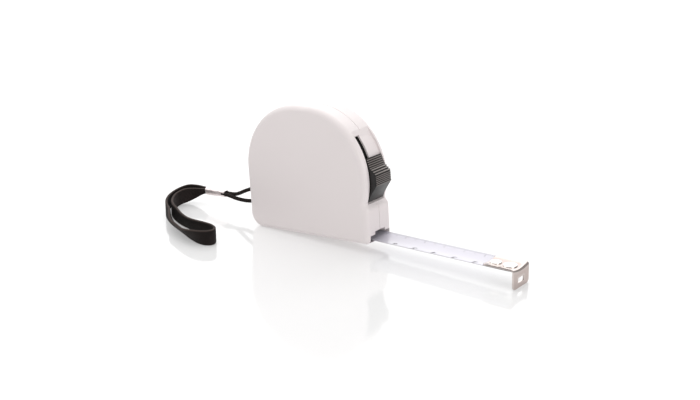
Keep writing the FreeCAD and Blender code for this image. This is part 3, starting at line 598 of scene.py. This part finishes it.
class TAPE_OT_stage(bpy.types.Operator):
    """Pale floor, soft studio light and the camera"""
    bl_idname = "tape.stage"
    bl_label = "Stage"

    def execute(self, context):
        scene = context.scene
        settings = scene.tape_stage
        scene.view_settings.view_transform = "Standard"
        bm = bmesh.new()
        reach, steps = 4.0, 8
        rows = [[(-reach + 2 * reach * i / steps, -reach + 2 * reach * k / steps, 0.0)
                 for i in range(steps + 1)] for k in range(steps + 1)]
        skin(bm, rows)
        mesh = mesh_from("floor", bm)
        material, tree, shader, place = new_finish("Pale floor", {"Specular IOR Level": 0.6})
        texture = use(tree, grain_group(), Place=place, Grains_per_metre=400.0,
                      Clouds_per_metre=2.0)
        dim = tuple(c * 0.985 for c in settings.floor)
        base = blend_colours(tree, texture.outputs["Cloud"], rgba(dim), rgba(settings.floor))
        link(tree, base, shader.inputs["Base Color"])
        roughen(tree, shader, texture.outputs["Grain"], 0.07, 0.12)
        shader.inputs["Emission Color"].default_value = (1.0, 1.0, 1.0, 1.0)
        shader.inputs["Emission Strength"].default_value = settings.glow
        mesh.materials.append(material)
        floor = bpy.data.objects.new("floor", mesh)
        scene.collection.objects.link(floor)

        world = bpy.data.worlds.new("Pale surroundings")
        world.use_nodes = True
        sky = world.node_tree.nodes["Background"]
        sky.inputs["Color"].default_value = (1.0, 0.995, 0.99, 1.0)
        sky.inputs["Strength"].default_value = settings.world
        scene.world = world

        def softbox(name, place, target, width, depth, power):
            light = bpy.data.lights.new(name, "AREA")
            light.shape = "RECTANGLE"
            light.size, light.size_y, light.energy = width, depth, power
            holder = bpy.data.objects.new(name, light)
            holder.location = place
            aim = Vector(target) - Vector(place)
            holder.rotation_euler = aim.to_track_quat("-Z", "Y").to_euler()
            scene.collection.objects.link(holder)

        middle = (-0.03, 0.0, 0.02)
        softbox("Top light", (-0.3, 0.3, 2.0), middle, 3.0, 3.0, settings.top_power)
        softbox("Side light", (-0.9, -0.5, 0.55), middle, 0.7, 0.7, settings.side_power)
        softbox("Front light", (1.3, -0.45, 0.45), middle, 0.9, 0.7, settings.front_power)
        softbox("Back light", (-1.3, 1.9, 1.2), middle, 4.0, 2.4, settings.back_power)

        lens = bpy.data.cameras.new("camera")
        lens.sensor_width, lens.lens = SENSOR_WIDTH, FOCAL_LENGTH
        lens.clip_start, lens.clip_end = 0.01, 20.0
        camera = bpy.data.objects.new("camera", lens)
        camera.location = VIEWED_FROM
        look = Vector(LOOKED_AT) - Vector(camera.location)
        camera.rotation_euler = look.to_track_quat("-Z", "Y").to_euler()
        scene.collection.objects.link(camera)
        scene.camera = camera
        return {"FINISHED"}


class TAPE_OT_strap(bpy.types.Operator):
    """Thin cord, crimped ferrule and woven loop of the wrist strap"""
    bl_idname = "tape.strap"
    bl_label = "Wrist strap"

    def execute(self, context):
        settings = context.scene.tape_strap
        webbing_finish = woven("Woven webbing", settings, 1.25, 1.1, 0.5, 0.55)
        cord_finish = woven("Braided cord", settings, 0.9, 0.8, 1.0, 0.0)
        ferrule = self.ferrule(settings)
        self.cord(settings, cord_finish, ferrule)
        self.webbing(settings, webbing_finish)
        dress("strap_eye_pin", bpy.data.materials["Plated steel"])
        return {"FINISHED"}

    def write_weave(self, mesh, across, along, border):
        """What the woven finish reads: millimetres across and along, and the woven edge."""
        for name, values in (("across_mm", across), ("along_mm", along), ("border", border)):
            write_values(mesh, name, values)

    def cord(self, settings, finish, ferrule):
        """Braided tube whose strands stand up a little as they cross."""
        line = stations(route_line("cord line", cord_route, 28))
        radius = settings.cord_diameter / 2
        sides, strands, lay = 24, 4, 5.0 * MM
        relief = 0.06 * MM
        bm = bmesh.new()
        rows, across, along = [], [], []
        for point, tangent, travelled in line:
            side = ACROSS.copy()
            other = tangent.cross(side).normalized()
            row = []
            for i in range(sides):
                turn = math.tau * i / sides
                twist = math.tau * travelled / lay
                weave = (math.sin(strands * turn + strands * twist)
                         * math.sin(strands * turn - strands * twist))
                reach = radius - relief + relief * (1.0 + weave)
                row.append(point + (side * math.cos(turn) + other * math.sin(turn)) * reach)
                across.append(turn * radius / MM)
                along.append(travelled / MM)
            rows.append(row)
        skin(bm, rows, closed_across=True, caps=True)
        mesh = mesh_from("strap_cord_braid", bm, 80.0)
        self.write_weave(mesh, across, along, [0.0] * len(across))
        piece = add_piece("strap_cord_braid", mesh, "case", [finish])
        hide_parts("strap_cord")

    def webbing(self, settings, finish):
        """Flat woven strip on its edge, leaning where it lies slack, gathered at the ferrule."""
        line = stations(route_line("webbing line", webbing_route, 26))
        total = line[-1][2]
        half = settings.webbing_width / 2
        thick = settings.webbing_thickness / 2
        gathered, gather_run = 0.34, 13.0 * MM
        columns, ribs, relief = 32, 8, 0.055 * MM
        beat = 1.1 * MM
        slack = ((40.0, 46.0 * MM, 91.0 * MM), (-20.0, 94.0 * MM, 130.0 * MM))   # lean, from, to
        slack_run = 18.0 * MM
        bm = bmesh.new()
        rows, across, along, border = [], [], [], []
        for point, tangent, travelled in line:
            from_end = min(travelled, total - travelled)
            open_share = smoothstep((from_end - 2.0 * MM) / gather_run)
            wide = half * (gathered + (1.0 - gathered) * open_share)
            deep = thick * (1.25 - 0.25 * open_share)
            out = Vector((tangent.y, -tangent.x, 0.0)).normalized()
            up = out.cross(tangent).normalized()
            if up.z < 0:
                up = -up
            lean = sum(math.radians(angle) * smoothstep((travelled - start) / slack_run)
                       * smoothstep((end - travelled) / slack_run)
                       for angle, start, end in slack)
            lowered = half * (1.0 - math.cos(lean)) - thick * abs(math.sin(lean))
            point = point + out * half * math.sin(lean) - up * max(lowered, 0.0)
            out, up = (out * math.cos(lean) - up * math.sin(lean),
                       up * math.cos(lean) + out * math.sin(lean))
            row = []
            for face in (1, -1):
                for i in range(columns + 1):
                    k = (2.0 * i / columns - 1.0) * face
                    edge = max(0.0, (abs(k) - 0.86) / 0.14)
                    rib = math.cos(math.pi * ribs * k)
                    wave = math.sin(math.tau * travelled / beat + (0 if rib > 0 else math.pi))
                    lift = relief * (0.7 * abs(rib) + 0.3 * wave) * (1.0 - edge)
                    depth = (deep * math.sqrt(max(0.0, 1.0 - 0.8 * edge ** 2)) + lift) * face
                    row.append(point + up * wide * k + out * depth)
                    across.append(k * wide / MM)
                    along.append(travelled / MM)
                    border.append(smoothstep(edge * 1.3))
            rows.append(row)
        skin(bm, rows, closed_across=True, caps=True)
        mesh = mesh_from("strap_webbing_weave", bm, 75.0)
        self.write_weave(mesh, across, along, border)
        piece = add_piece("strap_webbing_weave", mesh, "case", [finish])
        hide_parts("strap_webbing")

    def ferrule(self, settings):
        """Flattened tube with rolled lips and two crimp marks."""
        right, left = from_eye([ferrule_right])[0], from_eye([ferrule_left])[0]
        axis = (left - right).normalized()
        run = (left - right).length
        side = Vector((axis.y, -axis.x, 0.0)).normalized()
        up = side.cross(axis).normalized()
        if up.z < 0:
            up = -up
        wall, squareness, sides, steps = 0.35 * MM, 3.2, 40, 36
        crimps = (0.30, 0.68)

        def loop(where, inset):
            narrow = 0.86 + 0.14 * smoothstep(where)          # slimmer at the cord's end
            pinch = sum(math.exp(-((where - c) / 0.045) ** 2) for c in crimps)
            tall = settings.ferrule_width / 2 * narrow - inset
            deep = (settings.ferrule_depth / 2 - 0.22 * MM * pinch) * narrow - inset
            points = []
            for i in range(sides):
                turn = math.tau * i / sides
                c, s = math.cos(turn), math.sin(turn)
                reach = (abs(c) ** squareness + abs(s) ** squareness) ** (-1.0 / squareness)
                points.append(right + axis * run * where + side * c * reach * deep
                              + up * s * reach * tall)
            return points

        lip = wall / 3
        rows = [loop(0.0, lip)] + [loop(i / steps, 0.0) for i in range(1, steps)] + [loop(1.0, lip)]
        rows += [loop(1.0, wall)] + [loop(1.0 - i / 6, wall) for i in range(1, 6)] + [loop(0.0, wall)]
        rows.append(rows[0])
        bm = bmesh.new()
        skin(bm, rows, closed_across=True)
        bmesh.ops.remove_doubles(bm, verts=bm.verts, dist=1e-6)
        mesh = mesh_from("ferrule_tube", bm, 40.0)
        mark_edges(mesh, 0.8)
        finish = metal("Satin ferrule", settings.ferrule, 0.42, (10.0, 1.0, 1.0),
                       wear=((0.92, 0.90, 0.90), 0.4))
        piece = add_piece("ferrule_tube", mesh, "case", [finish])
        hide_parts("strap_ferrule")
        return piece


class TAPE_OT_case(bpy.types.Operator):
    """Finish of the two moulded shells and the screws that hold them"""
    bl_idname = "tape.case"
    bl_label = "Case"

    def execute(self, context):
        settings = context.scene.tape_case
        plastic = moulded("Shell plastic", settings.plastic, settings.gloss, settings.grain, 0.10,
                          cloud=0.02, **{"Coat Weight": 0.06, "Coat Roughness": 0.2})
        for node in ("case_plain_shell", "case_screw_shell"):
            dress(node, plastic)
        steel = metal("Plated steel", (0.56, 0.56, 0.57), 0.32, (1.0, 1.0, 6.0))
        for node in ("case_screws", "centre_post", "spring_clip", "hook_backing_plate"):
            dress(node, steel)
        return {"FINISHED"}


class TAPE_OT_reel(bpy.types.Operator):
    """Finishes of the reel and the spring inside the case"""
    bl_idname = "tape.reel"
    bl_label = "Reel"

    def execute(self, context):
        blade = context.scene.tape_blade
        drum = moulded("Drum plastic", (0.55, 0.55, 0.55), 0.5, 0.3 * MM, 0.1)
        for node in ("reel_drum", "drum_cover"):
            dress(node, drum)
        dress("reel_washers", moulded("Natural nylon", (0.80, 0.78, 0.72), 0.45, 0.4 * MM, 0.06))
        dress("mainspring", metal("Blued strip", (0.22, 0.25, 0.32), 0.28, (1.0, 10.0, 1.0)))
        coil = moulded("Coil lacquer", blade.lacquer, 0.32, 0.25 * MM, 0.05)
        dress("blade_coil", coil)
        return {"FINISHED"}


class TAPE_OT_lock(bpy.types.Operator):
    """Ribbed lock button, with its slider and brake shoe"""
    bl_idname = "tape.lock"
    bl_label = "Lock button"

    def execute(self, context):
        settings = context.scene.tape_lock
        black = moulded("Button plastic", settings.plastic, 0.36, 0.22 * MM, 0.14, cloud=0.15,
                        **{"Specular IOR Level": 0.42})
        bm = bmesh.new()
        half = settings.width / 2 / MM
        seat = settings.seat / MM
        outline, crests = self.profile(settings, seat)
        self.prism(bm, outline, -half, half, crests)
        stem_foot, stem_head, stem_low, stem_top = 28.9, seat + 0.3, 9.0, 17.5   # mm and degrees
        stem = [on_lock(r, a, 0.0) for r, a in ((stem_foot, stem_low), (stem_head, stem_low),
                                                (stem_head, stem_top), (stem_foot, stem_top))]
        stem_near, stem_far = -5.5, -2.1                      # millimetres across
        self.prism(bm, stem, stem_near, stem_far, ())
        mesh = finish_with(mesh_from("lock_button_ribbed", bm, 20.0), [
            ("BEVEL", {"width": 0.09 * MM, "segments": 2, "limit_method": "ANGLE",
                       "angle_limit": math.radians(24.0), "harden_normals": False})])
        # Second finish: painted highlight on the rib crests, a lighter grey.
        highlighted = moulded("Painted rib highlights", settings.ridge, 0.30, 0.22 * MM, 0.14, cloud=0.3,
                         **{"Specular IOR Level": 0.45})
        piece = add_piece("lock_button_ribbed", mesh, "lock", [black, highlighted])
        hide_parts("lock_button")
        slider = moulded("Slider plastic", settings.plastic, 0.5, 0.3 * MM, 0.1, cloud=0.15,
                         **{"Specular IOR Level": 0.2})
        dress("lock_slider", slider)
        dress("brake_shoe", moulded("Brake rubber", (0.03, 0.03, 0.03), 0.8, 0.3 * MM, 0.3))
        return {"FINISHED"}

    def prism(self, bm, outline, low, high, crests):
        """Closed outline drawn out between two heights across; the crests get the second finish, a painted
        highlight.
        """
        rows = [[point + ACROSS * y * MM for point in outline] for y in (low, high)]
        made = skin(bm, rows, closed_across=True, caps=True)
        for i in crests:
            edge = bm.edges.get((made[0][i], made[0][i + 1]))
            for face in edge.link_faces:
                if len(face.verts) == 4:
                    face.material_index = 1

    def profile(self, settings, seat):
        """Side view of the button, from its lower end up the outside to its top."""
        half_angle = 18.7
        low, top = on_lock(seat, -half_angle, 0), on_lock(seat, half_angle, 0)
        toe = low + (CASE_FORWARD * 0.8 + CASE_UP * 0.1) * MM
        peak_low, peak_top = on_lock(seat + 3.9, -3.0, 0), on_lock(seat + 3.8, 5.0, 0)
        ramp_low, ramp_top = on_lock(seat + 1.4, 10.0, 0), on_lock(seat + 0.8, half_angle - 0.2, 0)
        points = [low, toe, on_lock(seat + 1.0, -14.0, 0), on_lock(seat + 2.0, -9.2, 0),
                  on_lock(seat + 3.1, -5.6, 0)]
        crests = []
        for start, end, count, depth in ((peak_low, peak_top, settings.face_ribs, 0.32),
                                         (peak_top, ramp_low, 3, 0.45),
                                         (ramp_low, ramp_top, settings.ramp_ribs, 0.28)):
            crests += [len(points) + 4 * i + 1 for i in range(count)]
            points += self.ribs(start, end, count, depth, 0.5)
        points += [ramp_top, top]
        steps = 12
        points += [on_lock(seat, half_angle - 2 * half_angle * i / steps, 0)
                   for i in range(1, steps)]
        return points, crests

    def ribs(self, start, end, count, depth, filled):
        run = end - start
        out = Vector((run.z, 0.0, -run.x)).normalized() * depth * MM
        points = []
        for i in range(count):
            low, high = i / count, (i + filled) / count
            points += [start + run * low, start + run * low + out, start + run * high + out,
                       start + run * high]
        return points


class TAPE_OT_blade(bpy.types.Operator):
    """Hollow blade from the coil to the hook, with its printed scale"""
    bl_idname = "tape.blade"
    bl_label = "Blade"

    def execute(self, context):
        settings = context.scene.tape_blade
        start, tip = COIL_TANGENT / MM, (BLADE_OUT - TIP_UNDER_HOOK) / MM
        half = settings.width / 2 / MM
        thick = settings.thickness / MM
        corner = 1.5
        columns, step = 16, 1.2
        count = math.ceil((tip - corner - start) / step)
        places = [start + (tip - corner - start) * i / count for i in range(count + 1)]
        places += [tip - corner * (1 - math.sin(math.pi / 2 * i / 5)) for i in range(1, 6)]
        bm = bmesh.new()
        under, over = [], []
        for x in places:
            ahead = max(0.0, x - (tip - corner))
            wide = half - corner + math.sqrt(max(corner ** 2 - ahead ** 2, 0.0))
            row = [(x, wide * (2.0 * i / columns - 1.0)) for i in range(columns + 1)]
            under.append([on_blade(u, y, self.rise(settings, u, y)) for u, y in row])
            over.append([on_blade(u, y, self.rise(settings, u, y) + thick) for u, y in row])
        low = skin(bm, under)
        for face in bm.faces:
            face.material_index = 1
        high = skin(bm, over)
        rims = [([r[0] for r in low], [r[0] for r in high]),
                ([r[-1] for r in low], [r[-1] for r in high]), (low[0], high[0]),
                (low[-1], high[-1])]
        for lower, upper in rims:
            for i in range(len(lower) - 1):
                rim = bm.faces.new((lower[i], lower[i + 1], upper[i + 1], upper[i]))
                rim.material_index = 2
        self.numerals(bm, settings)
        mesh = mesh_from("blade_strip", bm)
        plain = moulded("Plain lacquer", settings.lacquer, 0.33, 0.25 * MM, 0.05,
                        **{"Coat Weight": 0.3, "Coat Roughness": 0.15})
        edge = metal("Blade edge", (0.36, 0.34, 0.36), 0.35, (1.0, 1.0, 1.0))
        ink = moulded("Scale ink", settings.ink, 0.4, 0.2 * MM, 0.08, cloud=0.2)
        piece = add_piece("blade_strip", mesh, None,
                          [printed_lacquer(settings), plain, edge, ink])
        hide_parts("blade_front", "blade_run")
        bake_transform(piece)
        return {"FINISHED"}

    def rise(self, settings, x, y):
        """Height of the blade's underside over its line."""
        hollow = smoothstep((x - COIL_TANGENT / MM) / (settings.spread / MM))
        return settings.sag / MM * hollow * (y / (settings.width / 2 / MM)) ** 2

    def numerals(self, bm, settings):
        """Centimetre numerals near one edge, counted from the hook and read from its side."""
        tall = settings.numeral_height / MM
        letter_share = 0.69                                   # cap height of the built-in font
        zero, base_line = BLADE_OUT / MM, -2.45
        for mark in range(1, 7):
            curve = bpy.data.curves.new("numeral", "FONT")
            curve.body = str(mark)
            curve.align_x = "CENTER"
            curve.size = tall / letter_share
            curve.resolution_u = 3
            curve.offset = 0.12
            holder = bpy.data.objects.new("numeral", curve)
            bpy.context.scene.collection.objects.link(holder)
            flat = bpy.data.meshes.new_from_object(holder)
            bpy.data.objects.remove(holder)
            centre = zero - 10.0 * mark
            made = []
            for vert in flat.vertices:
                x, y = centre - vert.co.x, base_line - vert.co.y
                z = self.rise(settings, x, y) + settings.thickness / MM + 0.012
                made.append(bm.verts.new(on_blade(x, y, z)))
            for polygon in flat.polygons:
                face = bm.faces.new([made[i] for i in polygon.vertices])
                face.material_index = 3
            bpy.data.meshes.remove(flat)


class TAPE_OT_hook(bpy.types.Operator):
    """End hook bent from sheet, with its two rivets"""
    bl_idname = "tape.hook"
    bl_label = "End hook"

    def execute(self, context):
        settings = context.scene.tape_hook
        blade = context.scene.tape_blade
        nickel = metal("Bright nickel", settings.nickel, 0.16, (1.0, 9.0, 1.0),
                       wear=((0.93, 0.90, 0.87), 0.35))
        rivet_finish = metal("Rivet nickel", (0.83, 0.80, 0.77), 0.14, (4.0, 4.0, 1.0),
                             wear=((0.94, 0.92, 0.90), 0.3))
        mesh = finish_with(self.sheet(settings, blade), [
            ("SOLIDIFY", {"thickness": settings.thickness, "offset": 0.0,
                          "use_even_offset": True}),
            ("BEVEL", {"width": 0.11 * MM, "segments": 2, "limit_method": "ANGLE",
                       "angle_limit": math.radians(45.0)})])
        mark_edges(mesh)
        piece = add_piece("hook_sheet", mesh, "hook", [nickel])
        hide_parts("end_hook")
        for node, behind, radius in (("hook_rivet_front", FRONT_RIVET, settings.front_head),
                                     ("hook_rivet_rear", REAR_RIVET, settings.rear_head)):
            mesh = self.rivet(settings, blade, (BLADE_OUT - behind) / MM, radius / MM, node)
            rivet = add_piece(node + "_head", mesh, "hook", [rivet_finish])
            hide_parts(node)
        return {"FINISHED"}

    def sheet(self, settings, blade):
        """Middle surface of the hook: hollow plate, bend and flat leg with its hole."""
        half = blade.width / 2 / MM
        sheet, corner, bend = (settings.thickness / MM, settings.corner / MM, settings.bend / MM)
        out = BLADE_OUT / MM
        leg_x = out - sheet / 2
        back, tip = out - settings.plate / MM, -settings.drop / MM
        plate_low = blade.thickness / MM + settings.gap / MM
        hole_low = tip + settings.hole_over_tip / MM
        hole_high = hole_low + settings.hole_height / MM
        hole_half = settings.hole_width / 2 / MM

        def narrowing(distance):
            short = max(0.0, corner - distance)
            return half - corner + math.sqrt(max(corner ** 2 - short ** 2, 0.0))

        shares = [-1.0, -0.94, -0.84, -0.7, -0.54, -hole_half / half, -0.25, -0.12]
        shares += [0.0] + [-s for s in reversed(shares)]
        rounding = [corner * (1 - math.cos(math.pi / 2 * i / 6)) for i in range(7)]
        plate_rows = [back + d for d in rounding]
        flat_run = leg_x - bend - back - corner
        plate_rows += [back + corner + flat_run * i / 10 for i in range(1, 11)]
        leg_rows = [-0.8, -1.6, hole_high, hole_high - 0.5, (hole_low + hole_high) / 2,
                    hole_low + 0.5, hole_low]
        leg_rows += [tip + d for d in reversed(rounding)]
        bm = bmesh.new()
        rows = []
        for x in plate_rows:
            rows.append([self.bent(blade, x, s * narrowing(x - back), plate_low, sheet)
                         for s in shares])
        for i in range(1, 7):
            turn = math.pi / 2 * i / 6
            row = []
            for s in shares:
                y = s * half
                top = plate_low + sheet / 2 + blade.sag / MM * (y / half) ** 2
                row.append(on_blade(leg_x - bend + bend * math.sin(turn), y,
                                    top - bend + bend * math.cos(turn)))
            rows.append(row)
        for z in leg_rows:
            rows.append([on_blade(leg_x, s * narrowing(z - tip), z) for s in shares])
        made = skin(bm, rows)
        hole = [f for f in bm.faces if self.in_hole(f, hole_low, hole_high, hole_half, leg_x)]
        bmesh.ops.delete(bm, geom=hole, context="FACES")
        for row in made[len(plate_rows) + 6:]:
            for vert in row:
                if vert.is_valid and not vert.link_faces:
                    bm.verts.remove(vert)
        return mesh_from("hook_sheet", bm, 60.0)

    def bent(self, blade, x, y, plate_low, sheet):
        """Point of the hollow plate's middle surface."""
        half = blade.width / 2 / MM
        return on_blade(x, y, plate_low + sheet / 2 + blade.sag / MM * (y / half) ** 2)

    def in_hole(self, face, low, high, half, leg_x):
        middle = face.calc_center_median() - MOUTH
        x, y, z = (middle.dot(d) / MM for d in (ALONG, ACROSS, OVER))
        return abs(x - leg_x) < 0.01 and abs(y) < half and low < z < high

    def rivet(self, settings, blade, place, radius, name):
        """Low domed head with a rolled rim, its shank and the flattened lower end."""
        sheet = settings.thickness / MM
        plate_top = blade.thickness / MM + settings.gap / MM + sheet
        seat = plate_top + blade.sag / MM * (radius / (blade.width / 2 / MM)) ** 2
        dome, fullness, sides = 0.55, 2.5, 48
        profile = [(0.0, -0.55), (1.5, -0.55), (1.8, -0.48), (1.8, -0.37), (1.2, -0.35),
                   (1.2, plate_top - 0.1), (radius - 0.05, plate_top - 0.1), (radius, seat - 0.1)]
        steps = 12
        for i in range(steps + 1):
            turn = math.pi / 2 * i / steps
            r = radius * math.cos(turn) ** (2.0 / fullness)
            z = seat + dome * math.sin(turn) ** (2.0 / fullness)
            profile.append((max(r, 0.0), z))
        bm = bmesh.new()
        rows = [[on_blade(place + r * math.cos(math.tau * k / sides),
                          r * math.sin(math.tau * k / sides), z) for k in range(sides)]
                for r, z in profile]
        skin(bm, rows, closed_across=True)
        bmesh.ops.remove_doubles(bm, verts=bm.verts, dist=1e-6)
        mesh = mesh_from(name + "_head", bm, 50.0)
        mark_edges(mesh, 0.6)
        return mesh


class TAPE_PT_panel(bpy.types.Panel):
    """Lists the pieces and their sizes and colours"""
    bl_idname = "TAPE_PT_panel"
    bl_label = "Pocket tape"
    bl_space_type = "VIEW_3D"
    bl_region_type = "UI"
    bl_category = "Tape"

    def draw(self, context):
        for operator, pointer in PIECES:
            box = self.layout.box()
            box.operator(operator)
            settings = getattr(context.scene, pointer)
            for prop in settings.__annotations__:
                box.prop(settings, prop)


# In the order in which they are made: the stage first, then the case and the strap.
PIECES = [("tape.stage", "tape_stage"), ("tape.case", "tape_case"), ("tape.strap", "tape_strap"),
          ("tape.reel", "tape_blade"), ("tape.lock", "tape_lock"), ("tape.blade", "tape_blade"),
          ("tape.hook", "tape_hook")]
SETTINGS = {"tape_case": TapeCaseSettings, "tape_blade": TapeBladeSettings,
            "tape_hook": TapeHookSettings, "tape_lock": TapeLockSettings,
            "tape_strap": TapeStrapSettings, "tape_stage": TapeStageSettings}
CLASSES = list(SETTINGS.values()) + [TAPE_OT_stage, TAPE_OT_case, TAPE_OT_strap, TAPE_OT_reel,
                                     TAPE_OT_lock, TAPE_OT_blade, TAPE_OT_hook, TAPE_PT_panel]


def register():
    for item in CLASSES:
        bpy.utils.register_class(item)
    for pointer, settings in SETTINGS.items():
        setattr(bpy.types.Scene, pointer, PointerProperty(type=settings))


def unregister():
    for pointer in SETTINGS:
        delattr(bpy.types.Scene, pointer)
    for item in reversed(CLASSES):
        bpy.utils.unregister_class(item)


def main():
    register()
    for operator, pointer in PIECES:
        group, name = operator.split(".")
        getattr(getattr(bpy.ops, group), name)()


if __name__ == "__main__":
    main()
